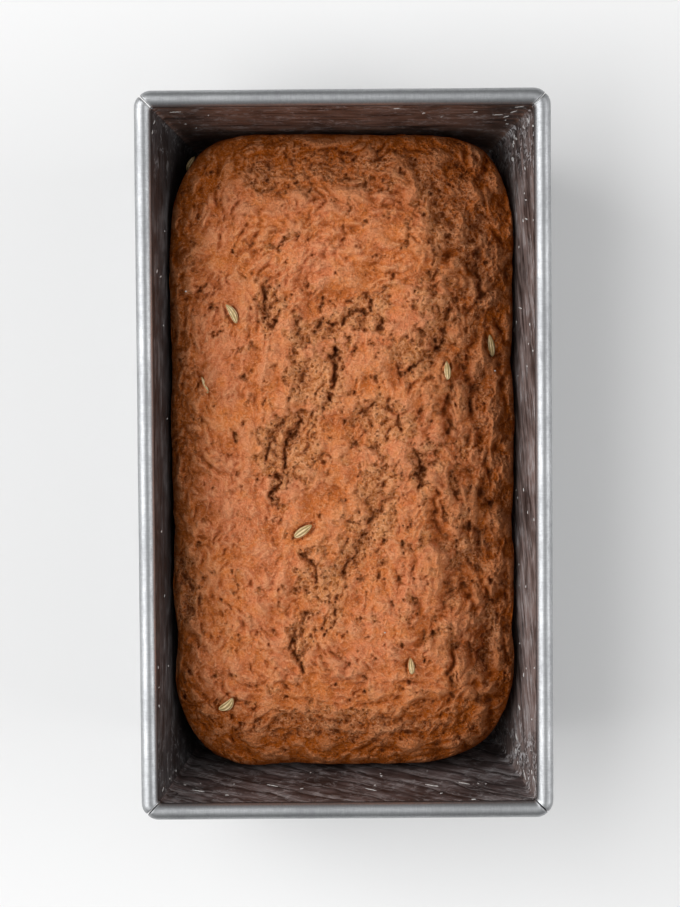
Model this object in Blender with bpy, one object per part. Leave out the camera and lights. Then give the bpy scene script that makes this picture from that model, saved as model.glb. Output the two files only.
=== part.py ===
# Black bread with fennel seeds, in the loaf tin it was baked in.
# Metres, Z up. The origin is the middle of the tin's base and the tin's length lies along Y.

import math

import bmesh
import bpy
from mathutils import Matrix, Vector, noise
from mathutils.bvhtree import BVHTree

MM = 0.001

# The tin: steel sheet with tapered walls and a rim rolled round a wire.
RIM_LENGTH = 242 * MM
RIM_WIDTH = 137.4 * MM
TIN_HEIGHT = 70 * MM
BEAD_RADIUS = 2.8 * MM
SHEET = 0.8 * MM
WALL_SLOPE = 0.155
RIM_CORNER_RADIUS = 5.8 * MM
CREASE_RADIUS_TOP = 1.6 * MM
CREASE_RADIUS_FLOOR = 3.2 * MM
FLOOR_FILLET = 3.0 * MM
CORNER_STEPS = 5
BEAD_TURN = math.radians(315)
BEAD_STEPS = 14
FILLET_STEPS = 3

# The seams where the four rolled edges meet at the corners.
SEAM_WIDTH = 0.7 * MM
SEAM_LENGTH = 9 * MM
SEAM_DEPTH = 6.4 * MM

# The loaf: its sides follow the walls, and its crust starts at the shoulder.
WALL_GAP = 0.75 * MM
FLOOR_GAP = 0.4 * MM
BASE_FILLET = 3.5 * MM
SHOULDER_LEFT = 45.5 * MM
SHOULDER_RIGHT = 38.5 * MM
SHOULDER_END = 31.0 * MM
SHOULDER_CORNER_DIP = 3.0 * MM
SHOULDER_UNEVEN = 3.2 * MM
SHOULDER_WAVE = 17 * MM
CREST = 57.0 * MM
CREST_FALL_ACROSS = 4.0 * MM
CREST_FALL_ALONG = 2.6 * MM
CREST_OFFSET = -9 * MM
ROLL_LEFT = 30 * MM
ROLL_RIGHT = 42 * MM
ROLL_END = 44 * MM
CRINKLE = 0.35 * MM
CRINKLE_LENGTH = 7 * MM
CELLS_ACROSS = 98
CELLS_ALONG = 184
SIDE_RINGS = 9
LOAF_FACES = 9700

# How square each corner of the loaf's outline is: 2 is an ellipse and large values are square.
SQUARE_TOP_LEFT = 2.6
SQUARE_TOP_RIGHT = 3.3
SQUARE_LOW_LEFT = 2.7
SQUARE_LOW_RIGHT = 2.8

# Where the crust draws back from the tin: edge, place along it, half length and depth in millimetres.
NOTCHES = (
    ("left", 36, 9, 0.5), ("left", -30, 14, 0.6), ("left", -67, 10, 1.6),
    ("right", -27, 8, 0.8), ("right", 31, 7, 0.6), ("right", -66, 11, 1.5),
    ("far", 18, 9, 0.8), ("near", -16, 9, 0.7),
)

# Relief of the crust, in millimetres: size of one lump and its height.
LUMPS = ((44, 1.5), (17, 0.8), (7.5, 0.45))
WRINKLE_WIDTH = 6.5
WRINKLE_LENGTH = 26
WRINKLE_HEIGHT = 1.5
WRINKLE_START = 18
WRINKLE_FULL = 40

# Cracks in the crust: route in millimetres across and along, half width and depth.
CRACKS = {
    "deep crack": (((-4, 36), (-2, 31), (-4, 27), (-4, 22), (-6, 17)), 1.5, 4.5),
    "deep crack tail": (((-6, 17), (-9, 14), (-13, 9)), 1.5, 1.8),
    "left tear": (((-27, 56), (-27, 50), (-24, 44)), 1.3, 1.6),
    "left tear inside": (((-16, 44), (-15, 39), (-12, 36)), 1.3, 1.4),
    "torn line outside": (((-20, 12), (-24, 7), (-27, 0)), 1.3, 1.6),
    "torn line middle": (((-15, 12), (-20, 3), (-20, -2), (-25, -14)), 1.6, 2.2),
    "torn line inside": (((-10, 12), (-11, 6), (-14, 0)), 1.3, 1.6),
    "ledge left": (((-10, 41), (-7, 44), (-3, 44)), 1.3, 1.8),
    "ledge middle": (((0, 45), (3, 48), (7, 48)), 1.4, 2.2),
    "ledge right": (((8, 53), (10, 50), (12, 42)), 1.2, 1.4),
    "burst bubble": (((8, 9), (8, 14), (11, 17), (17, 14), (19, 8)), 1.2, 1.4),
    "right groove": (((22, 28), (27, 33), (32, 37)), 1.6, 2.2),
    "right groove top": (((32, 37), (34, 43), (36, 51)), 1.8, 1.7),
    "right notch": (((24, 0), (25, -5), (25, -10)), 1.5, 2.6),
    "long groove": (((11, -7), (13, -12), (11, -18), (6, -27), (-1, -39)), 2.4, 2.6),
    "lower tear": (((-14, -33), (-11, -37), (-10, -42)), 1.5, 1.4),
    "lower bend": (((-7, -45), (-4, -50), (-3, -55), (-6, -59)), 1.3, 1.5),
    "lower hook": (((-13, -54), (-18, -60), (-17, -66), (-15, -70)), 1.3, 1.8),
    "upper line": (((-25, 69), (-21, 71), (-19, 73)), 1.2, 1.0),
    "right fold": (((45, 67), (46, 59), (46, 51)), 1.8, 3.0),
    "right crease": (((29, 92), (32, 80), (35, 72)), 2.2, 1.6),
    "low right line": (((27, -63), (32, -60), (35, -59)), 1.2, 1.2),
    "low edge line": (((49, -56), (50, -64), (47, -71)), 1.8, 1.8),
    "left edge fold": (((-55, -38), (-52, -46), (-54, -55)), 1.6, 1.4),
}

# Round pits: place across and along, radius and depth, in millimetres.
PITS = (
    (-23, -7, 2.0, 3.2), (1, 72, 1.5, 1.3), (36, 44, 1.7, 1.8), (31, 55, 1.7, 1.8),
    (38, 16, 1.6, 1.6), (19, -52, 1.3, 1.2), (22, -77, 1.3, 1.8), (-39, -90, 1.9, 1.8),
    (-32, -95, 1.7, 1.5), (-21, -84, 1.6, 1.5), (-9, -89, 1.6, 1.5), (1, -83, 1.5, 1.5),
    (-29, 93, 1.8, 1.6), (-24, 96, 1.5, 1.3), (38, -29, 1.8, 1.5), (43, -32, 1.8, 1.5),
)

# Sunken places where the skin is torn open: place, half width and length, depth.
TORN_PLACES = (
    (-21, 2, 9, 18, 1.3), (3, 46, 14, 7, 1.1), (14, 11, 13, 11, 1.0),
    (-20, 43, 8, 14, 0.9), (11, -19, 9, 16, 1.1), (-9, -44, 8, 13, 0.7),
)
CRUMB_SIZE = 3.2
CRUMB_HEIGHT = 0.8

# Fennel seeds: place across and along in millimetres, heading in degrees from X.
SEEDS = (
    (-37.5, 47.5, 120), (34, 27.5, 75), (49.3, 36, 100), (-14, -26, 35),
    (-40.5, -84, 35), (21.5, -72, 85), (-52.5, 99, 50), (-47, 23.5, 115),
)
SEED_LENGTH = 6.8 * MM
SEED_WIDTH = 2.3 * MM
SEED_SIDES = 5
SEED_RINGS = (0.24, 0.52, 0.8)
SEED_SUNK = 0.26

STEEL_COLOUR = (0.42, 0.43, 0.45, 1)
CRUST_COLOUR = (0.33, 0.125, 0.048, 1)


def remove_everything():
    for item in list(bpy.data.objects):
        bpy.data.objects.remove(item, do_unlink=True)


def make_material(name, colour, roughness, metallic):
    material = bpy.data.materials.new(name)
    material.use_nodes = True
    shader = material.node_tree.nodes["Principled BSDF"]
    shader.inputs["Base Color"].default_value = colour
    shader.inputs["Roughness"].default_value = roughness
    shader.inputs["Metallic"].default_value = metallic
    return material


def make_object(name, mesh_data, material=None):
    item = bpy.data.objects.new(name, mesh_data)
    bpy.context.scene.collection.objects.link(item)
    if material:
        item.data.materials.append(material)
    return item


def mesh_from_bmesh(name, shape):
    bmesh.ops.recalc_face_normals(shape, faces=shape.faces[:])
    mesh_data = bpy.data.meshes.new(name)
    shape.to_mesh(mesh_data)
    shape.free()
    return mesh_data


def evaluated_mesh(item):
    bpy.context.view_layer.update()
    graph = bpy.context.evaluated_depsgraph_get()
    return bpy.data.meshes.new_from_object(item.evaluated_get(graph))


def clamp(value, low=0.0, high=1.0):
    return max(low, min(high, value))


def smooth_step(start, end, value):
    part = clamp((value - start) / (end - start))
    return part * part * (3 - 2 * part)


def inner_inset(height):
    # How far the inside of the wall stands in from the rim's outermost line.
    return 2 * BEAD_RADIUS + WALL_SLOPE * (TIN_HEIGHT - BEAD_RADIUS - height)


def rounded_ring(inset, radius, height):
    half_width = RIM_WIDTH / 2 - inset
    half_length = RIM_LENGTH / 2 - inset
    points = []
    for corner in range(4):
        side_x = (1, -1, -1, 1)[corner]
        side_y = (1, 1, -1, -1)[corner]
        centre_x = side_x * (half_width - radius)
        centre_y = side_y * (half_length - radius)
        for step in range(CORNER_STEPS + 1):
            angle = math.pi / 2 * (corner + step / CORNER_STEPS)
            x = centre_x + radius * math.cos(angle)
            y = centre_y + radius * math.sin(angle)
            points.append((x, y, height))
    return points


def crease_radius(height):
    part = height / TIN_HEIGHT
    return CREASE_RADIUS_FLOOR + (CREASE_RADIUS_TOP - CREASE_RADIUS_FLOOR) * part


def tin_profile():
    # Rings from the middle of the inside floor, up the wall, round the bead and down outside.
    rings = []
    lean = math.atan(WALL_SLOPE)
    for step in range(FILLET_STEPS + 1):
        angle = (math.pi / 2 - lean) * step / FILLET_STEPS
        rise = FLOOR_FILLET * (1 - math.cos(angle))
        run = FLOOR_FILLET * (math.tan(math.pi / 4 - lean / 2) - math.sin(angle))
        height = SHEET + rise
        rings.append((inner_inset(SHEET) + run, crease_radius(height), height))
    centre_height = TIN_HEIGHT - BEAD_RADIUS
    for step in range(BEAD_STEPS + 1):
        angle = math.pi - BEAD_TURN * step / BEAD_STEPS
        inset = BEAD_RADIUS * (1 - math.cos(angle))
        height = centre_height + BEAD_RADIUS * math.sin(angle)
        radius = max(RIM_CORNER_RADIUS - inset, CREASE_RADIUS_TOP)
        rings.append((inset, radius, height))
    outer_fillet = FLOOR_FILLET + SHEET
    for step in range(FILLET_STEPS, -1, -1):
        angle = (math.pi / 2 - lean) * step / FILLET_STEPS
        rise = outer_fillet * (1 - math.cos(angle))
        run = outer_fillet * (math.tan(math.pi / 4 - lean / 2) - math.sin(angle))
        inset = inner_inset(0) - SHEET + run
        rings.append((inset, crease_radius(rise) + SHEET, rise))
    return rings


def build_tin(material):
    shape = bmesh.new()
    rings = []
    for inset, radius, height in tin_profile():
        rings.append([shape.verts.new(point) for point in rounded_ring(inset, radius, height)])
    count = len(rings[0])
    for lower, upper in zip(rings, rings[1:]):
        for index in range(count):
            after = (index + 1) % count
            shape.faces.new((lower[index], lower[after], upper[after], upper[index]))
    shape.faces.new(rings[0])
    shape.faces.new(rings[-1])
    tin = make_object("tin", mesh_from_bmesh("tin", shape), material)
    for corner in range(4):
        cut_seam(tin, corner)
    tin.data.shade_smooth()
    tin.data.set_sharp_from_angle(angle=math.radians(35))
    return tin


def cut_seam(tin, corner):
    # A thin slot through the bead at 45 degrees, outside the wall.
    side_x = (1, -1, -1, 1)[corner]
    side_y = (1, 1, -1, -1)[corner]
    shape = bmesh.new()
    bmesh.ops.create_cube(shape, size=1)
    bmesh.ops.scale(shape, vec=(SEAM_LENGTH, SEAM_WIDTH, 2 * SEAM_DEPTH), verts=shape.verts)
    cutter = make_object("seam cutter %d" % corner, mesh_from_bmesh("seam cutter", shape))
    inside = 2 * BEAD_RADIUS - SHEET / 2
    start = Vector((side_x * (RIM_WIDTH / 2 - inside), side_y * (RIM_LENGTH / 2 - inside), TIN_HEIGHT))
    outward = Vector((side_x, side_y, 0)).normalized()
    cutter.location = start + outward * SEAM_LENGTH / 2
    cutter.rotation_euler = (0, 0, math.atan2(side_y, side_x))
    cutter.hide_render = True
    cutter.display_type = "WIRE"
    cut = tin.modifiers.new("seam %d" % corner, "BOOLEAN")
    cut.operation = "DIFFERENCE"
    cut.solver = "EXACT"
    cut.object = cutter


def squareness(x, y):
    # How square the outline's corner is that a place belongs to.
    right = smooth_step(-0.3, 0.3, 2 * x / RIM_WIDTH)
    far = smooth_step(-0.3, 0.3, 2 * y / RIM_LENGTH)
    low = SQUARE_LOW_LEFT + (SQUARE_LOW_RIGHT - SQUARE_LOW_LEFT) * right
    high = SQUARE_TOP_LEFT + (SQUARE_TOP_RIGHT - SQUARE_TOP_LEFT) * right
    return low + (high - low) * far


def drawn_back(x, y):
    # How far the outline is drawn back from the tin, at the sides and at the ends.
    side_edge = "right" if x > 0 else "left"
    end_edge = "far" if y > 0 else "near"
    side_row, end_row = math.copysign(3.3, x), math.copysign(3.3, y)
    side = CRINKLE / 2 * (1 + noise.noise(Vector((y / CRINKLE_LENGTH, side_row, 3.7))))
    end = CRINKLE / 2 * (1 + noise.noise(Vector((x / CRINKLE_LENGTH, end_row, 6.2))))
    for edge, place, half_length, depth in NOTCHES:
        if edge == side_edge:
            side += depth * MM * math.exp(-((y / MM - place) / half_length) ** 2)
        elif edge == end_edge:
            end += depth * MM * math.exp(-((x / MM - place) / half_length) ** 2)
    return side, end


def roll_off(x, y):
    # How near a place is to the loaf's sides, to its ends and to its outline: 0 on the crown, 1 there.
    roll_width, shoulder = (ROLL_RIGHT, SHOULDER_RIGHT) if x > 0 else (ROLL_LEFT, SHOULDER_LEFT)
    side, end = drawn_back(x, y)
    side_reach = RIM_WIDTH / 2 - inner_inset(shoulder) - WALL_GAP - side - abs(x)
    end_reach = RIM_LENGTH / 2 - inner_inset(SHOULDER_END) - WALL_GAP - end - abs(y)
    square = squareness(x, y)
    near_side = clamp(1 - side_reach / roll_width) ** square
    near_end = clamp(1 - end_reach / ROLL_END) ** square
    return near_side, near_end, clamp(near_side + near_end) ** (1 / square)


def shoulder_height(x, y, near_side, near_end):
    # Height where the crust leaves the wall, lowest at the corners.
    right = smooth_step(-1, 1, 2 * x / RIM_WIDTH)
    side = SHOULDER_LEFT + (SHOULDER_RIGHT - SHOULDER_LEFT) * right
    end_share = (near_end + 1e-4) / (near_side + near_end + 2e-4)
    height = side + (SHOULDER_END - side) * end_share
    height -= SHOULDER_CORNER_DIP * 4 * end_share * (1 - end_share)
    unevenness = noise.noise(Vector((x / SHOULDER_WAVE, y / SHOULDER_WAVE, 4.7)))
    return height + SHOULDER_UNEVEN * unevenness


def dome_height(x, y):
    near_side, near_end, edge = roll_off(x, y)
    shoulder = shoulder_height(x, y, near_side, near_end)
    fall_x = (x - CREST_OFFSET) / (RIM_WIDTH / 2)
    fall_y = y / (RIM_LENGTH / 2)
    crown = CREST - CREST_FALL_ACROSS * fall_x ** 2 - CREST_FALL_ALONG * fall_y ** 2
    return shoulder + (crown - shoulder) * math.sqrt(1 - edge * edge)


def rounded_place(across, along, half_width, half_length, squarer):
    # Maps a square's ring onto a ring with superellipse corners.
    reach = max(abs(across), abs(along), 1e-4)
    x, y = across * half_width, along * half_length
    box_x = (ROLL_RIGHT if across > 0 else ROLL_LEFT) * reach * reach
    box_y = ROLL_END * reach * reach
    corner_x, corner_y = reach * half_width - box_x, reach * half_length - box_y
    over_x, over_y = (abs(x) - corner_x) / box_x, (abs(y) - corner_y) / box_y
    if over_x > 0 and over_y > 0:
        square = squareness(x, y) * squarer
        shrink = max(over_x, over_y) / (over_x ** square + over_y ** square) ** (1 / square)
        x = math.copysign(corner_x + over_x * shrink * box_x, x)
        y = math.copysign(corner_y + over_y * shrink * box_y, y)
    return x, y


def side_place(across, along, height, squarer=1, inset=0):
    gap = inner_inset(height) + WALL_GAP + inset
    side, end = drawn_back(across * RIM_WIDTH / 2, along * RIM_LENGTH / 2)
    half_width, half_length = RIM_WIDTH / 2 - gap - side, RIM_LENGTH / 2 - gap - end
    return rounded_place(across, along, half_width, half_length, squarer)


def route_distance(x, y, route):
    nearest = 1e9
    for (start_x, start_y), (end_x, end_y) in zip(route, route[1:]):
        run_x, run_y = end_x - start_x, end_y - start_y
        part = ((x - start_x) * run_x + (y - start_y) * run_y) / (run_x * run_x + run_y * run_y)
        part = clamp(part)
        nearest = min(nearest, math.hypot(x - start_x - part * run_x, y - start_y - part * run_y))
    return nearest


def crust_relief(x, y):
    # Height added to the crust at a place given in millimetres.
    relief = 0.0
    for size, height in LUMPS:
        relief += height * noise.noise(Vector((x / size, y / size, size)))
    wrinkled = smooth_step(WRINKLE_START, WRINKLE_FULL, x)
    ridge = 1 - 2 * abs(noise.noise(Vector((x / WRINKLE_WIDTH, y / WRINKLE_LENGTH, 9.1))))
    relief += WRINKLE_HEIGHT * wrinkled * (ridge - 0.6)
    bend_x = x + 1.3 * noise.noise(Vector((x / 5, y / 5, 2.3)))
    bend_y = y + 1.3 * noise.noise(Vector((x / 5, y / 5, 7.9)))
    torn = 0.0
    for place_x, place_y, half_width, half_length, depth in TORN_PLACES:
        reach = math.hypot((bend_x - place_x) / half_width, (bend_y - place_y) / half_length)
        part = 1 - smooth_step(0.55, 1.1, reach)
        torn = max(torn, part)
        relief -= depth * part
    relief += CRUMB_HEIGHT * torn * noise.noise(Vector((x / CRUMB_SIZE, y / CRUMB_SIZE, 5.5)))
    for route, half_width, depth in CRACKS.values():
        reach = route_distance(bend_x, bend_y, route) / half_width
        relief -= depth * math.exp(-reach * reach)
    for place_x, place_y, radius, depth in PITS:
        reach = math.hypot(bend_x - place_x, bend_y - place_y) / radius
        relief -= depth * math.exp(-reach * reach)
    return relief * MM


def crust_place(across, along):
    # The outline stands off the wall at whatever height the crust has there.
    reach = max(abs(across), abs(along))
    x, y = side_place(across, along, SHOULDER_RIGHT)
    wall_height = CREST + (dome_height(x, y) - CREST) * reach ** 4
    x, y = side_place(across, along, wall_height)
    fade = 1 - reach ** 12
    return x, y, dome_height(x, y) + crust_relief(x / MM, y / MM) * fade


def edge_spread(step, count):
    # Even steps from -1 to 1, drawn closer together towards both ends.
    part = 2 * step / count - 1
    return part * (1.22 - 0.22 * part * part)


def build_loaf_body():
    shape = bmesh.new()
    across_steps = [edge_spread(step, CELLS_ACROSS) for step in range(CELLS_ACROSS + 1)]
    along_steps = [edge_spread(step, CELLS_ALONG) for step in range(CELLS_ALONG + 1)]
    grid = []
    for along in along_steps:
        grid.append([shape.verts.new(crust_place(across, along)) for across in across_steps])
    for row in range(CELLS_ALONG):
        for column in range(CELLS_ACROSS):
            shape.faces.new((grid[row][column], grid[row][column + 1],
                             grid[row + 1][column + 1], grid[row + 1][column]))
    edge = [(0, column) for column in range(CELLS_ACROSS)]
    edge += [(row, CELLS_ACROSS) for row in range(CELLS_ALONG)]
    edge += [(CELLS_ALONG, column) for column in range(CELLS_ACROSS, 0, -1)]
    edge += [(row, 0) for row in range(CELLS_ALONG, 0, -1)]
    above = [grid[row][column] for row, column in edge]
    shoulders = [vert.co.z for vert in above]
    for ring in range(1, SIDE_RINGS + 1):
        ring_verts = []
        for (row, column), shoulder in zip(edge, shoulders):
            place = side_ring_place(across_steps[column], along_steps[row], shoulder, ring)
            ring_verts.append(shape.verts.new(place))
        for index in range(len(edge)):
            after = (index + 1) % len(edge)
            shape.faces.new((above[index], ring_verts[index], ring_verts[after], above[after]))
        above = ring_verts
    shape.faces.new(above)
    return make_object("loaf body", mesh_from_bmesh("loaf body", shape))


def side_ring_place(across, along, shoulder, ring):
    # The corners grow squarer downwards, and the last two rings round off the bottom edge.
    base = SHEET + FLOOR_GAP
    straight_rings = SIDE_RINGS - 2
    if ring <= straight_rings:
        part = 1 - ring / straight_rings
        height = base + BASE_FILLET + (shoulder - base - BASE_FILLET) * part
        inset = 0
    else:
        angle = math.pi / 2 * (ring - straight_rings) / 2
        height = base + BASE_FILLET * (1 - math.sin(angle))
        inset = BASE_FILLET * (1 - math.cos(angle))
        part = 0
    x, y = side_place(across, along, height, 2 - part, inset)
    return x, y, height


def build_seed(place, heading, surface_normal):
    shape = bmesh.new()
    rings = []
    for part in SEED_RINGS:
        radius = SEED_WIDTH / 2 * math.sin(math.pi * part) ** 0.6
        x = (part - 0.5) * SEED_LENGTH
        ring = []
        for side in range(SEED_SIDES):
            angle = 2 * math.pi * (side + 0.25) / SEED_SIDES
            point = (x, radius * math.cos(angle), radius * math.sin(angle) * 0.8)
            ring.append(shape.verts.new(point))
        rings.append(ring)
    tips = [shape.verts.new((side * SEED_LENGTH / 2, 0, 0)) for side in (-1, 1)]
    for index in range(SEED_SIDES):
        after = (index + 1) % SEED_SIDES
        shape.faces.new((tips[0], rings[0][after], rings[0][index]))
        shape.faces.new((tips[1], rings[-1][index], rings[-1][after]))
        for first, second in zip(rings, rings[1:]):
            shape.faces.new((first[index], first[after], second[after], second[index]))
    bmesh.ops.triangulate(shape, faces=shape.faces[:])
    seed = bpy.data.objects.new("seed", mesh_from_bmesh("seed", shape))
    up = surface_normal
    forward = Vector((math.cos(heading), math.sin(heading), 0))
    forward = (forward - up * forward.dot(up)).normalized()
    turn = Matrix((forward, up.cross(forward), up)).transposed().to_4x4()
    seed.matrix_world = Matrix.Translation(place) @ turn
    return seed


def scatter_seeds(body):
    seeds = bpy.data.collections.new("seeds")
    bpy.context.scene.collection.children.link(seeds)
    tree = BVHTree.FromObject(body, bpy.context.evaluated_depsgraph_get())
    for x, y, heading in SEEDS:
        above = Vector((x * MM, y * MM, TIN_HEIGHT))
        hit, normal, _, _ = tree.ray_cast(above, Vector((0, 0, -1)))
        if hit is None:
            hit, normal, _, _ = tree.find_nearest(Vector((x * MM, y * MM, SHOULDER_END)))
        place = hit + normal * SEED_WIDTH * SEED_SUNK
        seeds.objects.link(build_seed(place, math.radians(heading), normal))
    return seeds


def build_loaf(material):
    body = build_loaf_body()
    body.data.materials.append(material)
    thin_out = body.modifiers.new("fewer faces", "DECIMATE")
    thin_out.use_collapse_triangulate = True
    body.data.calc_loop_triangles()
    thin_out.ratio = LOAF_FACES / len(body.data.loop_triangles)
    coarse = make_object("loaf", evaluated_mesh(body))
    bpy.data.objects.remove(body, do_unlink=True)
    bpy.context.view_layer.update()
    seeds = scatter_seeds(coarse)
    join = coarse.modifiers.new("seeds", "BOOLEAN")
    join.operation = "UNION"
    join.solver = "EXACT"
    join.operand_type = "COLLECTION"
    join.collection = seeds
    joined = evaluated_mesh(coarse)
    coarse.modifiers.clear()
    coarse.data = joined
    for seed in list(seeds.objects):
        bpy.data.objects.remove(seed, do_unlink=True)
    bpy.data.collections.remove(seeds)
    coarse.data.shade_smooth()
    return coarse


def main():
    remove_everything()
    steel = make_material("satin steel", STEEL_COLOUR, 0.38, 1.0)
    crust = make_material("rye crust", CRUST_COLOUR, 0.72, 0.0)
    build_tin(steel)
    build_loaf(crust)


main()
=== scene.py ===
import math
import random

import bmesh
import bpy
import numpy as np
from mathutils import Matrix, Vector, noise
from mathutils.bvhtree import BVHTree


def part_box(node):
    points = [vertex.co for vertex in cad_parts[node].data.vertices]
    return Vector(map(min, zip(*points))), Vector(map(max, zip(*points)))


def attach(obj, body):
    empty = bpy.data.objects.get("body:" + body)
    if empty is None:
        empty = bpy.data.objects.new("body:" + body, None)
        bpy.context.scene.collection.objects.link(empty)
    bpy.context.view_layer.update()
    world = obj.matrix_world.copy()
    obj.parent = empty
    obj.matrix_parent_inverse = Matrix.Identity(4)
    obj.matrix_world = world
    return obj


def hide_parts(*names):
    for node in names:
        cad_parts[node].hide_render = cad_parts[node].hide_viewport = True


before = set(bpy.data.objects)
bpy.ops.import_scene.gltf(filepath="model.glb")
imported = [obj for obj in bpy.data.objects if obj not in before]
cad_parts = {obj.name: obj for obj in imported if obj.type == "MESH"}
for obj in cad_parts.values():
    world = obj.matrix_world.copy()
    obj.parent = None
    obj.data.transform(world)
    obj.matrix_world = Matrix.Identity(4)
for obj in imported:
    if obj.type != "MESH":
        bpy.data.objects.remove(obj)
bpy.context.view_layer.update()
mm = 0.001


# shader building: a Wire is one socket, and sums with wires add Math nodes

class Wire:
    def __init__(self, finish, socket):
        self.finish = finish
        self.socket = socket

    def maths(self, operation, first, second):
        return self.finish.node("ShaderNodeMath", {"operation": operation}, {0: first, 1: second})

    def __add__(self, other): return self.maths("ADD", self, other)
    def __radd__(self, other): return self.maths("ADD", other, self)
    def __sub__(self, other): return self.maths("SUBTRACT", self, other)
    def __rsub__(self, other): return self.maths("SUBTRACT", other, self)
    def __mul__(self, other): return self.maths("MULTIPLY", self, other)
    def __rmul__(self, other): return self.maths("MULTIPLY", other, self)
    def __truediv__(self, other): return self.maths("DIVIDE", self, other)
    def __rtruediv__(self, other): return self.maths("DIVIDE", other, self)

    def wrapped(self):
        # the part after the decimal point, which makes a pattern repeat
        return self.maths("FRACT", self, 0)

    def between(self, low, high, start=0.0, end=1.0):
        return self.finish.node("ShaderNodeMapRange", {"interpolation_type": "SMOOTHSTEP"},
                                {0: self, 1: low, 2: high, 3: start, 4: end})


class Finish:
    def __init__(self, owner, coordinates="Object"):
        self.owner = owner
        owner.use_nodes = True
        self.tree = owner.node_tree
        self.tree.nodes.clear()
        self.place = self.node("ShaderNodeTexCoord", {}, {}, coordinates)

    def node(self, kind, settings, sockets, output=0):
        made = self.tree.nodes.new(kind)
        for name, value in settings.items():
            if name == "stops":
                setStops(made.color_ramp, value)
            else:
                setattr(made, name, value)
        for name, value in sockets.items():
            if isinstance(value, Wire):
                self.tree.links.new(value.socket, made.inputs[name])
            else:
                made.inputs[name].default_value = value
        return Wire(self, made.outputs[output]) if made.outputs else None

    def mix(self, amount, first, second):
        settings = {"data_type": "RGBA", "clamp_factor": True}
        return self.node("ShaderNodeMix", settings, {0: amount, 6: first, 7: second}, 2)

    def coated(self, colour, *coats):
        # lays colours over one another, each with how much of it shows
        for amount, coat in coats:
            colour = self.mix(amount, colour, coat)
        return colour

    def reach(self, direction):
        # how far a place lies along a direction
        settings = {"operation": "DOT_PRODUCT"}
        return self.node("ShaderNodeVectorMath", settings, {0: self.place, 1: direction}, "Value")

    def stretch(self, lengths, turn=(0, 0, 0)):
        sockets = {"Vector": self.place, "Scale": lengths, "Rotation": turn}
        return self.node("ShaderNodeMapping", {"vector_type": "TEXTURE"}, sockets)

    def noise(self, size, detail=3.0, rough=0.55, warp=0.0, where=None):
        sockets = {"Vector": where or self.place, "Scale": 1 / size, "Detail": detail,
                   "Roughness": rough, "Distortion": warp}
        return self.node("ShaderNodeTexNoise", {}, sockets)

    def cells(self, size, where=None):
        return self.node("ShaderNodeTexVoronoi", {}, {"Vector": where or self.place, "Scale": 1 / size})

    def painted(self, name):
        return self.node("ShaderNodeAttribute", {"attribute_name": name}, {}, "Fac")

    def bump(self, height, distance, strength=1.0):
        return self.node("ShaderNodeBump", {}, {"Height": height, "Distance": distance, "Strength": strength})

    def finished(self, sockets):
        shader = self.node("ShaderNodeBsdfPrincipled", {}, sockets)
        self.node("ShaderNodeOutputMaterial", {}, {"Surface": shader})
        return self.owner


def newFinish(name):
    return Finish(bpy.data.materials.new(name))


def setStops(ramp, stops):
    while len(ramp.elements) < len(stops):
        ramp.elements.new(0.5)
    for element, (position, colour) in zip(ramp.elements, stops):
        element.position = position
        element.color = colour


# small helpers

def blend(start, end, part):
    return start + (end - start) * part


def smoothStep(start, end, value):
    part = np.clip((value - start) / (end - start), 0, 1)
    return part * part * (3 - 2 * part)


def addPiece(name, vertices, faces, materials, replaced):
    shape = bpy.data.meshes.new(name)
    shape.from_pydata([tuple(vertex) for vertex in vertices], [], [tuple(face) for face in faces])
    shape.validate()
    for material in materials:
        shape.materials.append(material)
    shape.shade_smooth()
    piece = link(name, shape)
    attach(piece, "root")
    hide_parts(replaced)
    return piece


def ringFaces(rings, count, start=0):
    # quads between rings of points that follow one another
    faces = []
    for ring in range(rings - 1):
        low, high = start + ring * count, start + (ring + 1) * count
        for step in range(count):
            after = (step + 1) % count
            faces.append((low + step, low + after, high + after, high + step))
    return faces


def tubeFaces(rings, count):
    # the same, with both ends shut
    last = (rings - 1) * count
    return ringFaces(rings, count) + [tuple(range(count)), tuple(range(last, last + count))]


def link(name, data):
    made = bpy.data.objects.new(name, data)
    bpy.context.scene.collection.objects.link(made)
    return made


def faceOutward(piece):
    shape = bmesh.new()
    shape.from_mesh(piece.data)
    bmesh.ops.recalc_face_normals(shape, faces=shape.faces[:])
    shape.to_mesh(piece.data)
    shape.free()


# camera, floor and light

cameraView = {
    "focalLength": 108.3, "sensor": 36,    # millimetres
    "place": (0.0021, 0.046, 0.970),
    "turn": (-2.864, 0.213, -0.441),       # degrees
}


def placeCamera():
    lens = bpy.data.cameras.new("photoCamera")
    lens.lens = cameraView["focalLength"]
    lens.sensor_width = cameraView["sensor"]
    camera = link("photoCamera", lens)
    camera.location = cameraView["place"]
    camera.rotation_euler = [math.radians(angle) for angle in cameraView["turn"]]
    bpy.context.scene.camera = camera


studio = {
    "floorSize": 4.0,
    "floorColour": (0.82, 0.82, 0.82, 1),
    "windowPlace": (-1.30, 0.20, 1.35), "windowSize": (2.0, 2.0), "windowPower": 34.0,
    "fillPlace": (1.6, -0.1, 1.15), "fillSize": (1.5, 1.3), "fillPower": 13.0,
    "skyTowards": (-0.85, 0.10, 0.35),     # where the brightest part of the surroundings is
    "skyStops": ((0.0, (0.50, 0.50, 0.50, 1)), (0.5, (0.50, 0.505, 0.51, 1)),
                 (0.8, (0.60, 0.60, 0.60, 1)), (1.0, (0.85, 0.85, 0.85, 1))),
    "skyEnds": 0.46,                       # how bright it is past the tin's two ends
    "aim": (0, 0, 0.04),                   # what the two lights point at
}


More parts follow.
